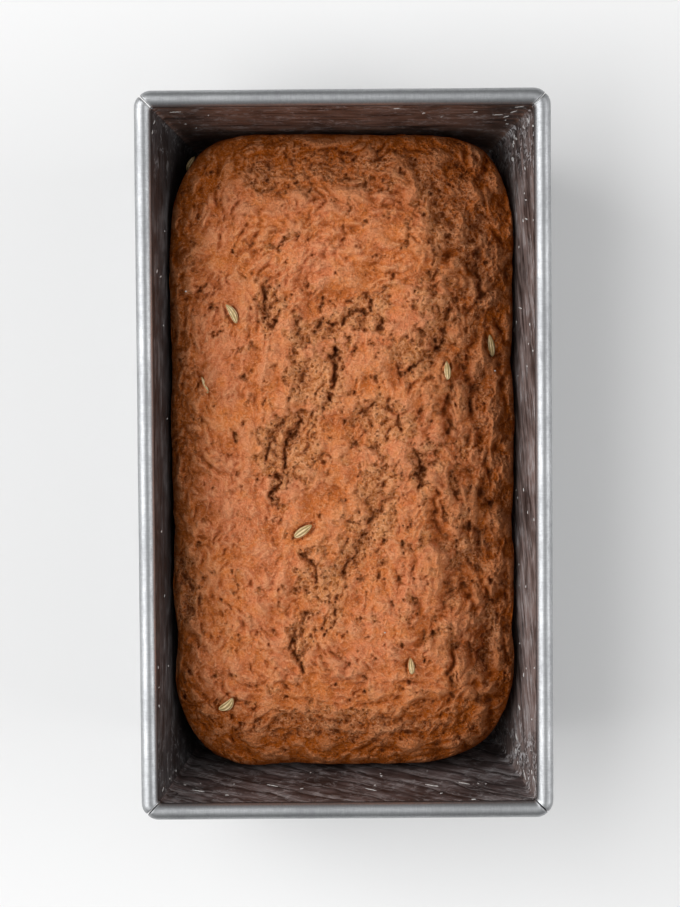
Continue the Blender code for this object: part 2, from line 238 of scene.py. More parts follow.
def areaLight(name, place, size, power):
    lamp = bpy.data.lights.new(name, "AREA")
    lamp.shape = "RECTANGLE"
    lamp.size, lamp.size_y = size
    lamp.energy = power
    light = link(name, lamp)
    light.location = place
    light.rotation_euler = (Vector(studio["aim"]) - Vector(place)).to_track_quat("-Z", "Y").to_euler()


def setStudio():
    floorMaterial = newFinish("paleFloor").finished({"Base Color": studio["floorColour"], "Roughness": 0.7})
    half = studio["floorSize"] / 2
    corners = [(-half, -half, 0), (half, -half, 0), (half, half, 0), (-half, half, 0)]
    shape = bpy.data.meshes.new("floor")
    shape.from_pydata(corners, [], [(0, 1, 2, 3)])
    shape.materials.append(floorMaterial)
    floor = link("floor", shape)
    for name in ("window", "fill"):
        areaLight(name, studio[name + "Place"], studio[name + "Size"], studio[name + "Power"])
    world = bpy.data.worlds.new("studio")
    bpy.context.scene.world = world
    sky = Finish(world, "Generated")
    lean = sky.reach(Vector(studio["skyTowards"]).normalized())
    past = sky.reach((0, 1, 0))
    colour = sky.node("ShaderNodeValToRGB", {"stops": studio["skyStops"]}, {0: lean * 0.5 + 0.5})
    strength = (past * past).between(0.12, 0.55, 1.0, studio["skyEnds"])
    glow = sky.node("ShaderNodeBackground", {}, {"Color": colour, "Strength": strength})
    sky.node("ShaderNodeOutputWorld", {}, {"Surface": glow})
    bpy.context.scene.view_settings.view_transform = "Standard"


# finishes

steelLook = {
    # the last colour in this row is painted shade, near-black, for the bead's hidden underside and its ends
    # by the corner seams
    "light": (0.46, 0.47, 0.48, 1), "dull": (0.31, 0.317, 0.327, 1), "under": (0.050, 0.043, 0.042, 1),
    "grain": 0.5 * mm, "patch": 24 * mm, "spot": 1.6 * mm,
}


def satinSteel():
    finish = newFinish("satinSteel")
    brushed = finish.noise(steelLook["grain"], 2, where=finish.stretch((1, 12, 1)))
    brushedAcross = finish.noise(steelLook["grain"], 2, where=finish.stretch((12, 1, 1)))
    patches = finish.noise(steelLook["patch"], 4)
    spots = finish.noise(steelLook["spot"], 3)
    shade = brushed * 0.2 + brushedAcross * 0.2 + patches * 0.4 + spots * 0.2
    # painted shade on the bead's hidden underside and at its ends by the corner seams
    under = finish.painted("under")
    colour = finish.coated(steelLook["dull"], (shade.between(0.35, 0.65), steelLook["light"]),
                           (under, steelLook["under"]))
    rough = shade.between(0.3, 0.7, 0.52, 0.39) + under * 0.3
    height = brushed + brushedAcross + spots
    return finish.finished({
        "Base Color": colour, "Metallic": 1.0, "Roughness": rough,
        "Normal": finish.bump(height, 0.03 * mm, 0.4),
    })


filmLook = {
    "dark": (0.026, 0.018, 0.016, 1), "grease": (0.52, 0.52, 0.53, 1),
    "ridgeSpacing": 9 * mm, "streak": 2.4 * mm, "fine": 0.75 * mm, "cloud": 22 * mm, "patch": 6 * mm,
    "crumple": 2.6 * mm,
    "cornerReach": (0.0072, 0.0105),       # squares of how far along the tin its corners begin and are full
    # for each wall: its brown with painted light and shade in it (lit on the right wall, shaded nearly black
    # on the left wall, with a painted reflection of the loaf on the far wall), lean of its streaks in
    # degrees, how much grease, how strong its ridges are
    "right": ((0.250, 0.190, 0.175, 1), -22, 1.0, 0.0), "far": ((0.210, 0.118, 0.085, 1), 4, 0.35, 0.3),
    "left": ((0.062, 0.056, 0.057, 1), -6, 0.35, 0.0), "near": ((0.160, 0.122, 0.118, 1), -36, 0.7, 0.9),
}


def bakedFilm(wall):
    # the greasy, streaked inside of one wall of the tin, whose brown holds that wall's painted light and
    # shade
    finish = newFinish("bakedFilm" + wall.capitalize())
    # the wall's brown holds that wall's painted light and shade
    wallBrownLitAndShaded, degrees, greasy, ridged = filmLook[wall]
    lean = math.radians(degrees)
    alongX = wall in ("far", "near")
    turn = (0, lean, 0) if alongX else (lean, 0, 0)
    over = (math.sin(lean), 0, math.cos(lean)) if alongX else (0, -math.sin(lean), math.cos(lean))
    drawn = finish.stretch((16, 1, 1) if alongX else (1, 16, 1), turn)
    wavy = finish.stretch((7, 1, 1) if alongX else (1, 7, 1), turn)
    streaks = finish.noise(filmLook["streak"], 4, 0.6, 0.4, wavy)
    fine = finish.noise(filmLook["fine"], 3, 0.65, 0.3, drawn)
    cloud = finish.noise(filmLook["cloud"], 3)
    patch = finish.noise(filmLook["patch"], 4, 0.6)
    crumpled = finish.noise(filmLook["crumple"], 4, 0.65, 1.2)
    ridge = (finish.reach(over) / filmLook["ridgeSpacing"] + cloud * 1.5 + streaks * 0.35).wrapped()
    # painted shade along the foot of each ridge, sharp on one side and fading on the other
    valleyShade = ridge.between(0.0, 0.35, 1.0, 0.0)
    smear = fine.between(0.50, 0.64) * (cloud * 0.5 + patch * 0.5).between(0.42, 0.58)
    wipe = (streaks * 0.5 + patch * 0.5).between(0.47, 0.62) * cloud.between(0.40, 0.60)
    crest = ridge.between(0.45, 0.95) * streaks.between(0.42, 0.6) * (0.5 * ridged)
    smeared = (smear * 0.8 + wipe * 0.3 + crest) * (1 - valleyShade * (0.9 * ridged))
    side = finish.reach((0, 1, 0))
    corner = (side * side).between(*filmLook["cornerReach"]) * patch.between(0.44, 0.54)
    corner = corner * (0.3 if alongX else greasy)
    dark, grease = filmLook["dark"], filmLook["grease"]
    colour = finish.coated(
        dark, ((streaks * 0.55 + cloud * 0.45).between(0.34, 0.60), wallBrownLitAndShaded), (valleyShade * (0.95 * ridged), dark),
        (smeared * greasy, grease), (corner * crumpled.between(0.51, 0.45) * 0.85, dark),
        (corner * crumpled.between(0.54, 0.59), grease))
    rough = streaks.between(0.3, 0.7, 0.40, 0.60)
    height = streaks + fine * 0.5 + patch + ridge * (1.2 * ridged)
    return finish.finished({
        "Base Color": colour, "Metallic": 0.2, "Roughness": rough,
        "Normal": finish.bump(height, 0.15 * mm, 0.7),
    })


crustLook = {
    "skin": (0.665, 0.200, 0.052, 1), "rosy": (0.710, 0.230, 0.100, 1),
    # pit is a colour for painted shade in hollows and pores; baked is darker baked crust that also carries
    # painted shade
    "bakedAndShade": (0.410, 0.090, 0.006, 1), "crumb": (0.610, 0.222, 0.056, 1), "pitShade": (0.170, 0.032, 0.002, 1),
    # the two grain colours are the crust's grain and also carry painted shade on low grain and painted
    # highlight on high grain
    "grainDarkAndShade": (0.250, 0.050, 0.004, 1), "grainLightAndHighlight": (0.88, 0.43, 0.22, 1),
    "cloud": 21 * mm, "mottle": 4.5 * mm, "grain": 1.3 * mm, "speck": 0.65 * mm, "flake": 1.9 * mm,
    "pore": 1.7 * mm, "crumbGrain": 0.9 * mm, "hole": 1.15 * mm,
}


def breadCrust():
    finish = newFinish("breadCrust")
    masks = ("cavity", "ridge", "torn", "edge", "fold")
    cavity, ridge, torn, edge, fold = (finish.painted(mask) for mask in masks)
    cloud = finish.noise(crustLook["cloud"], 4)
    mottle = finish.noise(crustLook["mottle"], 4, 0.6)
    grain = finish.noise(crustLook["grain"], 3, 0.75)
    speck = finish.noise(crustLook["speck"], 2, 0.75)
    flake = finish.noise(crustLook["flake"], 4, 0.7, 0.6)
    thread = (flake - 0.5) * (flake - 0.5)        # 0 on thin lines, which stand up in the torn crumb
    turned = finish.stretch((1, 1, 1), (0.3, 0.2, 0.7))
    pores = finish.cells(crustLook["pore"], turned) + speck * 0.5 - 0.25
    porous = grain.between(0.42, 0.56) * torn.between(0.25, 0.8)
    # painted shade inside the pores of the torn crumb
    shadedPore = pores.between(0.40, 0.14) * porous
    # painted highlight on the rims of the pores
    poreRimHighlight = pores.between(0.34, 0.46) * pores.between(0.66, 0.50) * porous
    pale = 1 - edge * 0.45
    crumbs = finish.cells(crustLook["crumbGrain"]).between(0.52, 0.16) * grain.between(0.44, 0.56)
    # painted shade in small holes over the crust
    shadedHoles = finish.cells(crustLook["hole"], finish.stretch((1, 1.4, 1), (0.4, 0.1, 0.9)))
    shadedHoles = shadedHoles.between(0.42, 0.12) * speck.between(0.46, 0.56)
    # darker baked crust and painted shade together, strongest towards the edges
    bakedAndShadeShare = (edge + mottle * 0.5 - 0.40).between(0.1, 0.9) + mottle.between(0.45, 0.7) * 0.35
    skin, rosy, crumb, bakedAndShade = (crustLook[name] for name in ("skin", "rosy", "crumb", "bakedAndShade"))
    pitShade, dark, light = (crustLook[name] for name in ("pitShade", "grainDarkAndShade", "grainLightAndHighlight"))
    colour = finish.coated(
        skin, ((cloud * 0.5 + mottle * 0.5).between(0.40, 0.60), rosy), (torn * 0.8, crumb),
        # painted shade in the broad fold valleys, in the baked colour
        (bakedAndShadeShare, bakedAndShade), (fold.between(0.46, 0.08) * 0.36, bakedAndShade),
        # painted shade in the small holes, and in the low grain beside its own dark grain
        ((grain * 0.6 + speck * 0.4).between(0.47, 0.34) * 0.35, dark), (shadedHoles * (torn * 0.45 + 0.28), dark),
        # light specks on the high grain: the crust's grain and painted highlight together
        ((grain * 0.4 + speck * 0.6).between(0.50, 0.66) * pale * 0.4, light),
        # painted light on the broad crests of the folds
        (crumbs * pale * (torn * 0.5 + 0.25), light), (fold.between(0.56, 0.95) * 0.16, light),
        # painted highlight on the ridges of the relief
        (ridge * speck.between(0.38, 0.6, 0.3, 1) * pale * 0.42, light),
        # painted highlight on the pore rims
        (torn * thread.between(0.005, 0.0, 0, 0.3), light), (poreRimHighlight * 0.35, light),
        # painted shade: the pore hollows and the low places of the relief are darkened with the pit colour
        (shadedPore * 0.65, pitShade), (cavity * 0.6, pitShade))
    fine = (grain * 0.8 + speck * 0.65) * (edge * 0.7 + 0.85)
    height = fine + mottle * 0.5 + crumbs * 0.15 - shadedHoles * 0.3 - thread * torn * 10 - shadedPore
    return finish.finished({
        "Base Color": colour, "Roughness": grain.between(0.3, 0.7, 0.55, 0.8),
        "Specular IOR Level": 0.03,
        "Normal": finish.bump(height, 1.0 * mm, 1.0),
    })


seedLook = {
    "pale": (0.80, 0.61, 0.35, 1), "green": (0.55, 0.41, 0.18, 1), "groove": (0.24, 0.15, 0.05, 1),
    "patch": 1.3 * mm,
}


def fennelHusk():
    finish = newFinish("fennelHusk")
    groove, patch = seedLook["groove"], finish.noise(seedLook["patch"], 3)
    colour = finish.coated(seedLook["pale"], (patch.between(0.35, 0.65), seedLook["green"]),
                           (finish.painted("rib").between(0.2, 0.8, 0.85, 0), groove),
                           (finish.painted("tip") * 0.6, groove))
    return finish.finished({
        "Base Color": colour, "Roughness": 0.5,
        "Normal": finish.bump(patch, 0.1 * mm, 0.4),
    })


# the tin

tin = {
    "beadRadius": 2.8 * mm, "sheet": 0.8 * mm, "slope": 0.155, "rimCornerRadius": 5.8 * mm,
    "creaseTop": 1.6 * mm, "creaseFloor": 3.2 * mm, "fillet": 3.0 * mm, "filletSteps": 5,
    "cornerSteps": 8, "wallRings": 8, "sideStep": 4.0 * mm, "beadSides": 28, "beadStations": 60,
    "wobble": 0.10 * mm, "shellSharp": 40, "beadSharp": 60,      # sharp edges from these angles in degrees
    # how open the seam at each corner is, for the signs of its place across and along
    "seamGaps": {(1, 1): 0.25 * mm, (-1, 1): 0.55 * mm, (-1, -1): 0.5 * mm, (1, -1): 0.3 * mm},
    # the bead towards each of its ends: angles round the corner, how much thinner it gets, and how much
    # painted shade darkens it by the corner seam
    "endAngles": (45, 44, 42, 39, 34, 28, 20, 10, 0), "endShrink": (0.82, 0.93, 0.98, 1.0),
    "endShade": (1.0, 0.8, 0.3), "seamReach": 7,
}
halfRimWidth, halfRimLength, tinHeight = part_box("tin")[1]


def innerInset(height):
    return 2 * tin["beadRadius"] + tin["slope"] * (tinHeight - tin["beadRadius"] - height)


def creaseRadius(height):
    return blend(tin["creaseFloor"], tin["creaseTop"], height / tinHeight)


def wallRing(inset, radius, height):
    halfWidth, halfLength = halfRimWidth - inset, halfRimLength - inset
    across = int(2 * halfRimWidth / tin["sideStep"])
    along = int(2 * halfRimLength / tin["sideStep"])
    centres = [Vector((sideX * (halfWidth - radius), sideY * (halfLength - radius), height))
               for sideX, sideY in ((1, 1), (-1, 1), (-1, -1), (1, -1))]
    points = []
    for corner, centre in enumerate(centres):
        for step in range(tin["cornerSteps"] + 1):
            angle = math.pi / 2 * (corner + step / tin["cornerSteps"])
            points.append(centre + radius * Vector((math.cos(angle), math.sin(angle), 0)))
        offset = points[-1] - centre
        count = across if corner % 2 == 0 else along
        for step in range(1, count):
            points.append(centre.lerp(centres[(corner + 1) % 4], step / count) + offset)
    return points


def filletRings(size, height, inset, thick):
    lean = math.atan(tin["slope"])
    rings = []
    for step in range(tin["filletSteps"] + 1):
        angle = (math.pi / 2 - lean) * step / tin["filletSteps"]
        run = size * (math.tan(math.pi / 4 - lean / 2) - math.sin(angle))
        rise = size * (1 - math.cos(angle))
        rings.append((inset + run, creaseRadius(rise) + thick, height + rise))
    return rings


def buildShell(films, steel):
    beadHeight = tinHeight - tin["beadRadius"]
    rings = filletRings(tin["fillet"], tin["sheet"], innerInset(tin["sheet"]), 0)
    start = rings[-1][2]
    for step in range(1, tin["wallRings"] + 1):
        height = start + (beadHeight - start) * step / tin["wallRings"]
        rings.append((innerInset(height), creaseRadius(height), height))
    innerCount = len(rings)
    rings.append((innerInset(beadHeight) - tin["sheet"], creaseRadius(beadHeight) + tin["sheet"], beadHeight))
    outer = filletRings(tin["fillet"] + tin["sheet"], 0, innerInset(0) - tin["sheet"], tin["sheet"])
    low = outer[-1][2]
    for step in range(1, tin["wallRings"]):
        height = beadHeight + (low - beadHeight) * step / tin["wallRings"]
        rings.append((innerInset(height) - tin["sheet"], creaseRadius(height) + tin["sheet"], height))
    rings += outer[::-1]
    # the rings run up the inside of the wall, over its edge and down the outside
    vertices = [point for ring in rings for point in wallRing(*ring)]
    count = len(vertices) // len(rings)
    faces = tubeFaces(len(rings), count)
    innerFloor = len(faces) - 2                # the last two faces are the floor's inside and outside
    shell = addPiece("tinShell", vertices, faces, films + [steel], "tin")
    faceOutward(shell)
    for index, face in enumerate(shell.data.polygons):
        inner = index < (innerCount - 1) * count or index == innerFloor
        around = round(math.atan2(-face.normal.y, -face.normal.x) / (math.pi / 2)) % 4
        face.material_index = around if inner else len(films)
    shell.data.set_sharp_from_angle(angle=math.radians(tin["shellSharp"]))


def buildBead(side, steel):
    # one rolled edge, from the mitre at one corner to the mitre at the next
    turn = Matrix.Rotation(math.pi / 2 * side, 3, "Z")
    out, along = (halfRimWidth, halfRimLength) if side % 2 == 0 else (halfRimLength, halfRimWidth)
    radiusOfBead = tin["beadRadius"]
    vertices, under = [], []
    angles = [math.radians(angle) for angle in tin["endAngles"]]
    ends = [(-1, angle) for angle in angles[:-1]]
    ends += [(0, 2 * step / tin["beadStations"] - 1) for step in range(tin["beadStations"] + 1)]
    ends += [(1, angle) for angle in angles[-2::-1]]
    sides = tin["beadSides"]
    for station, (end, value) in enumerate(ends):
        near = min(station, len(ends) - 1 - station)
        shrink = tin["endShrink"][near] if near < len(tin["endShrink"]) else 1
        # painted shade darkens the last rings of the bead by the corner seam
        dark = tin["endShade"][near] if near < len(tin["endShade"]) else 0
        cornerSign = turn @ Vector((1, end or math.copysign(1, value), 0))
        gap = tin["seamGaps"][tuple(round(math.copysign(1, sign)) for sign in cornerSign[:2])]
        pull = gap / math.sqrt(2) * (max(0, 1 - near / tin["seamReach"]) if end else 0)
        for step in range(sides):
            around = 2 * math.pi * step / sides
            # painted shade on the hidden underside of the bead
            hidden = smoothStep(2.6, 3.0, around) * (1 - smoothStep(4.7, 5.2, around))
            under.append(max(hidden, dark))
            inset = radiusOfBead * (1 - shrink * math.cos(around))
            height = tinHeight - radiusOfBead + radiusOfBead * shrink * math.sin(around)
            corner = max(tin["rimCornerRadius"] - inset, tin["creaseTop"])
            straight = along - inset - corner
            if end == 0:
                point = Vector((out - inset, value * straight, height))
            else:
                x = out - inset - corner + corner * math.cos(value)
                y = straight + corner * math.sin(value)
                point = Vector((x, end * y, height))
            point.y -= end * pull
            waver = noise.noise(Vector((point.y * 45, side * 7.3, height * 60)))
            point.x -= tin["wobble"] * (0.5 + 0.5 * waver)
            vertices.append(turn @ point)
    bead = addPiece("tinBead%d" % side, vertices, tubeFaces(len(ends), sides), [steel], "tin")
    faceOutward(bead)
    paint(bead, "under", under)
    bead.data.set_sharp_from_angle(angle=math.radians(tin["beadSharp"]))


# the loaf

loaf = {
    "wallGap": 0.75 * mm, "floorGap": 0.4 * mm, "baseFillet": 3.5 * mm,
    "shoulderLeft": 45.5 * mm, "shoulderRight": 38.5 * mm, "shoulderEnd": 31.0 * mm,
    "cornerDip": 3.0 * mm, "uneven": 3.2 * mm, "wave": 17 * mm,
    "crest": 57.0 * mm, "fallAcross": 4.0 * mm, "fallAlong": 2.6 * mm, "crestOffset": -9 * mm,
    "rollLeft": 30 * mm, "rollRight": 42 * mm, "rollEnd": 44 * mm,
    "squareTopLeft": 2.6, "squareTopRight": 3.3, "squareLowLeft": 2.7, "squareLowRight": 2.8,
    "crinkle": 0.75 * mm, "crinkleLength": 5.5 * mm,
    "cellsAcross": 416, "cellsAlong": 768, "sideRings": 8, "filletRings": 2,
    "halfWidth": 60, "halfLength": 111,    # of the outline that shows, in millimetres
}

# where the crust draws back from the tin: side, place along it, half length and depth in millimetres
notches = (
    ("left", 36, 9, 0.5), ("left", -30, 14, 0.6), ("left", -67, 10, 1.6),
    ("right", -27, 8, 0.8), ("right", 31, 7, 0.6), ("right", -66, 11, 1.5),
    ("far", 18, 9, 0.8), ("near", -16, 9, 0.7),
)

# cracks: route in millimetres across and along, half width, depth, and by how much the crust stands higher
# on the left of the route than on its right
cracks = {
    "deepCrack": (((-3.6, 34), (-2, 29), (-3, 24), (-4.4, 19)), 1.1, 3.8, 0.6),
    "deepCrackTail": (((-4.4, 19), (-9, 14), (-13, 9)), 0.8, 1.0, 0.5),
    "leftTear": (((-27, 56), (-27, 50), (-24, 44)), 0.8, 2.2, -1.4),
    "leftTearInside": (((-16, 44), (-15, 39), (-12, 36)), 0.7, 1.2, -0.8),
    "tornLineOutside": (((-20, 12), (-24, 7), (-27, 0)), 0.9, 2.2, -1.4),
    "tornLineMiddle": (((-15, 12), (-20, 3), (-20, -2), (-25, -14)), 1.0, 2.8, -0.7),
    "tornLineInside": (((-10, 12), (-11, 6), (-14, 0)), 0.7, 1.4, 0.7),
    "ledgeLeft": (((-10, 41), (-7, 44), (-3, 44)), 1.0, 2.4, 1.5),
    "ledgeMiddle": (((0, 45), (3, 48), (7, 48)), 1.2, 3.0, 1.7),
    "ledgeRight": (((8, 53), (10, 50), (12, 42)), 0.9, 1.8, 0.8),
    "burstBubble": (((8, 9), (8, 14), (11, 17), (17, 14), (19, 8)), 0.8, 1.6, -0.8),
    "rightGroove": (((22, 28), (27, 33), (32, 37)), 1.0, 2.4, 1.5),
    "rightGrooveTop": (((32, 37), (34, 43), (36, 51)), 1.1, 1.4, 1.0),
    "rightNotch": (((24, 0), (25, -5), (25, -10)), 0.9, 2.2, -1.2),
    "longGroove": (((11, -7), (13, -12), (11, -18), (6, -27), (-1, -39)), 2.2, 1.6, -1.7),
    "lowerTear": (((-14, -33), (-11, -37), (-10, -42)), 0.8, 1.8, 0.7),
    "lowerBend": (((-7, -45), (-4, -50), (-3, -55), (-6, -59)), 0.7, 1.3, -0.6),
    "lowerHook": (((-13, -54), (-18, -60), (-17, -66), (-15, -70)), 0.7, 1.6, 1.1),
    "upperLine": (((-25, 69), (-21, 71), (-19, 73)), 0.5, 0.9, 0.6),
    "rightFold": (((45, 67), (46, 59), (46, 51)), 1.2, 2.6, 1.0),
    "rightCrease": (((29, 92), (32, 80), (35, 72)), 1.8, 1.8, -1.0),
    "lowRightLine": (((27, -63), (32, -60), (35, -59)), 0.6, 1.0, 0.7),
    "lowEdgeLine": (((49, -56), (50, -64), (47, -71)), 1.1, 1.5, 0.8),
    "leftEdgeFold": (((-55, -38), (-52, -46), (-54, -55)), 1.1, 1.3, 0.9),
}

# pits: place across and along, radius and depth, in millimetres
pits = (
    (-23, -7, 1.3, 3.0), (1, 72, 0.8, 1.3), (36, 44, 1.0, 1.6), (31, 55, 1.0, 1.6),
    (38, 16, 1.0, 1.5), (19, -52, 0.7, 1.2), (22, -77, 0.7, 1.6), (-39, -90, 1.2, 1.7),
    (-32, -95, 1.0, 1.4), (-21, -84, 0.9, 1.4), (-9, -89, 0.9, 1.4), (1, -83, 0.8, 1.4),
    (-29, 93, 1.1, 1.5), (-24, 96, 0.9, 1.3), (38, -29, 1.1, 1.4), (43, -32, 1.1, 1.4),
)

# torn places: place, half width and half length in millimetres, and how strongly torn
tornPlaces = (
    (-24, 50, 5, 8, 1.0), (-14, 39, 5, 6, 1.0), (-4, 43, 8, 5, 1.0), (6, 47, 8, 7, 1.0),
    (12, 52, 7, 6, 0.8), (-11, 25, 11, 12, 1.0), (11, 11, 10, 10, 0.9), (-19, 2, 13, 14, 1.0),
    (22, 34, 10, 6, 0.8), (20, 9, 6, 6, 0.9), (11, -19, 8, 16, 0.9), (-9, -44, 9, 12, 0.8),
    (-15, -62, 6, 10, 0.7), (-27, 94, 9, 6, 0.8), (44, 70, 8, 30, 0.5), (40, -32, 10, 12, 0.5),
    (-5, -92, 42, 7, 0.6), (34, 84, 12, 14, 0.5), (30, 50, 10, 14, 0.5), (5, 96, 40, 8, 0.5),
    (0, 20, 30, 42, 0.20), (14, -30, 24, 32, 0.14), (36, 10, 22, 70, 0.20),
)

# lobes where the skin stands higher: place, half width and half length in millimetres, and rise
lobes = (
    (-34, 28, 21, 34, 1.3), (5, -5, 13, 8, 1.1), (13, 28, 12, 9, 0.8), (-2, 73, 27, 19, 0.7),
    (10, -64, 20, 15, 0.8), (-35, -50, 17, 27, 0.6), (34, -8, 12, 16, 0.8), (33, 68, 9, 20, 0.8),
)

relief = {
    "lumps": ((44, 1.5), (15, 3.8), (7, 3.1)),         # size and rise
    "ruggedMiddle": (12, 30, 62), "ruggedEnds": (72, 96),      # place along and half sizes, from and to
    # how lines are bent: by how much, size of the bends, seed and roughness
    "bend": (2.2, 6, 11, 0.55), "crackBend": (1.4, 2.2, 31, 0.55), "crumbBend": (1.1, 2.4, 61, 0.7),
    "tornFrom": 0.26, "tornTo": 0.66, "lipAt": 0.22, "lipWidth": 0.08,
    # where the crust is darker, from baking and from painted shade together: by how much, and between which
    # places
    "bakedAndShadedRight": (0.14, 10, 48), "bakedAndShadedNear": (0.5, 76, 104), "bakedAndShadedFar": (0.34, 76, 104),
    "foldWidth": 9.0, "foldLength": 17, "foldHeight": 2.6, "foldStart": 14, "foldFull": 38,
    "spacing": 0.25, "halfWidth": 66, "halfLength": 116,     # the raster that the fine relief is made on
    # size of one bump, its height, how far it is drawn out, and whether its valleys are sharp
    "layers": ((6.0, 0.95, 3.0, True), (3.2, 0.50, 1.8, True), (1.8, 0.34, 1.0, False),
               (1.0, 0.20, 0.25, False)),
    "quiet": 0.30,                 # share of the relief that is left where the skin is smoothest
    "creaseSize": 5.5, "creaseDepth": 0.9, "slitSize": 1.9, "slitDepth": 0.12,
    # torn crumb: size of its lumps, their height, how far they are drawn out, and whether the valleys are
    # sharp and not the ridges
    "shreds": ((7.5, 1.30, 1.5, True), (3.8, 0.80, 0.9, True), (2.0, 0.46, 0.6, False),
               (1.05, 0.30, 0.25, False)),
    "liftReach": 3.6, "tornDrop": 0.9, "crumbSize": 3.1, "crumbDepth": 0.9, "lip": 0.45,
    "seedGap": 0.9,
}


# the fennel seeds: place in millimetres, heading in degrees, length, width, bend, and how much of the width
# their middle stands above the crust

seeds = {
    "places": (
        (-37.5, 47.5, 120, 7.2, 2.5, 0.5, 0.36), (34, 27.5, 75, 6.8, 2.5, 0.1, 0.36),
        (49.3, 36, 100, 7.6, 2.4, 0.1, 0.36), (-14, -26, 35, 7.2, 3.0, 0.0, 0.36),
        (-40.5, -84, 52, 7.2, 3.2, 0.6, 0.38), (21.5, -72, 85, 5.8, 2.2, 0.1, 0.36),
        (-54, 99.7, 50, 5.6, 2.2, 1.3, 0.36), (-47, 23.5, 115, 6.0, 1.4, 0.2, -0.2),
    ),
    "ribs": 7, "ribDepth": 0.17, "around": 42, "stations": 18, "flatness": 0.82,
}


def noiseField(x, y, sizeX, sizeY, layer):
    points = zip((x / sizeX).ravel(), (y / sizeY).ravel())
    values = [noise.noise(Vector((a, b, layer))) for a, b in points]
    return np.array(values).reshape(x.shape)


def hashed(cellX, cellY, seed):
    key = (cellX * 73856093) ^ (cellY * 19349663) ^ (seed * 83492791)
    key = ((key ^ (key >> 13)) * 1274126177) & 0x7fffffff
    key = ((key ^ (key >> 15)) * 668265263) & 0x7fffffff
    return key / 0x7fffffff


def waves(x, y, seed):
    # gradient noise for whole arrays, about -0.7 to 0.7
    cellX, cellY = np.floor(x).astype(np.int64), np.floor(y).astype(np.int64)
    partX, partY = x - cellX, y - cellY
    fadeX = partX ** 3 * (partX * (partX * 6 - 15) + 10)
    fadeY = partY ** 3 * (partY * (partY * 6 - 15) + 10)
    corners = []
    for stepX, stepY in ((0, 0), (1, 0), (0, 1), (1, 1)):
        angle = 2 * math.pi * hashed(cellX + stepX, cellY + stepY, seed)
        corners.append(np.cos(angle) * (partX - stepX) + np.sin(angle) * (partY - stepY))
    return blend(blend(corners[0], corners[1], fadeX), blend(corners[2], corners[3], fadeX), fadeY)


def layered(x, y, size, seed, layers=4, rough=0.55):
    total, weight = 0, 1
    for layer in range(layers):
        total = total + weight * waves(x / size + 13.7 * layer, y / size - 5.1 * layer, seed + layer)
        size, weight = size / 2, weight * rough
    return total


def bubbles(x, y, size, seed):
    # distance to the nearest scattered point, 0 in a bubble's middle, and that bubble's chance value
    x, y = x / size, y / size
    cellX, cellY = np.floor(x).astype(np.int64), np.floor(y).astype(np.int64)
    nearest, chance = np.full(x.shape, 9.0), np.zeros(x.shape)
    for stepX in (-1, 0, 1):
        for stepY in (-1, 0, 1):
            pointX = cellX + stepX + hashed(cellX + stepX, cellY + stepY, seed)
            pointY = cellY + stepY + hashed(cellX + stepX, cellY + stepY, seed + 31)
            distance = np.hypot(pointX - x, pointY - y)
            closer = distance < nearest
            nearest = np.where(closer, distance, nearest)
            chance = np.where(closer, hashed(cellX + stepX, cellY + stepY, seed + 57), chance)
    return nearest, chance


def squareness(x, y):
    # how square the corner is that a place belongs to
    right = smoothStep(-0.3, 0.3, x / halfRimWidth)
    far = smoothStep(-0.3, 0.3, y / halfRimLength)
    low = blend(loaf["squareLowLeft"], loaf["squareLowRight"], right)
    return blend(low, blend(loaf["squareTopLeft"], loaf["squareTopRight"], right), far)


def drawnBack(x, y):
    # how far the outline is drawn back from the tin, at the sides and at the ends
    crinkle = loaf["crinkle"] * 0.5
    side = crinkle * (1 + noiseField(y, np.where(x > 0, 3.3, -3.3), loaf["crinkleLength"], 1, 3.7))
    end = crinkle * (1 + noiseField(x, np.where(y > 0, 3.3, -3.3), loaf["crinkleLength"], 1, 6.2))
    for edge, place, half, depth in notches:
        if edge in ("left", "right"):
            here = (x < 0) if edge == "left" else (x > 0)
            side = side + here * depth * mm * np.exp(-((y / mm - place) / half) ** 2)
        else:
            here = (y > 0) if edge == "far" else (y < 0)
            end = end + here * depth * mm * np.exp(-((x / mm - place) / half) ** 2)
    return side, end


def rollOff(x, y):
    width = np.where(x > 0, loaf["rollRight"], loaf["rollLeft"])
    shoulder = np.where(x > 0, loaf["shoulderRight"], loaf["shoulderLeft"])
    side, end = drawnBack(x, y)
    sideReach = halfRimWidth - innerInset(shoulder) - loaf["wallGap"] - side - np.abs(x)
    endReach = halfRimLength - innerInset(loaf["shoulderEnd"]) - loaf["wallGap"] - end - np.abs(y)
    square = squareness(x, y)
    nearSide = np.clip(1 - sideReach / width, 0, 1) ** square
    nearEnd = np.clip(1 - endReach / loaf["rollEnd"], 0, 1) ** square
    return nearSide, nearEnd, np.clip(nearSide + nearEnd, 0, 1) ** (1 / square)


def domeHeight(x, y):
    nearSide, nearEnd, edge = rollOff(x, y)
    right = smoothStep(-1, 1, x / halfRimWidth)
    endShare = (nearEnd + 1e-4) / (nearSide + nearEnd + 2e-4)
    shoulder = blend(blend(loaf["shoulderLeft"], loaf["shoulderRight"], right), loaf["shoulderEnd"], endShare)
    shoulder = shoulder - loaf["cornerDip"] * 4 * endShare * (1 - endShare)
    shoulder = shoulder + loaf["uneven"] * noiseField(x, y, loaf["wave"], loaf["wave"], 4.7)
    fallX = (x - loaf["crestOffset"]) / halfRimWidth
    fallY = y / halfRimLength
    crown = loaf["crest"] - loaf["fallAcross"] * fallX ** 2 - loaf["fallAlong"] * fallY ** 2
    return blend(shoulder, crown, np.sqrt(1 - edge * edge))


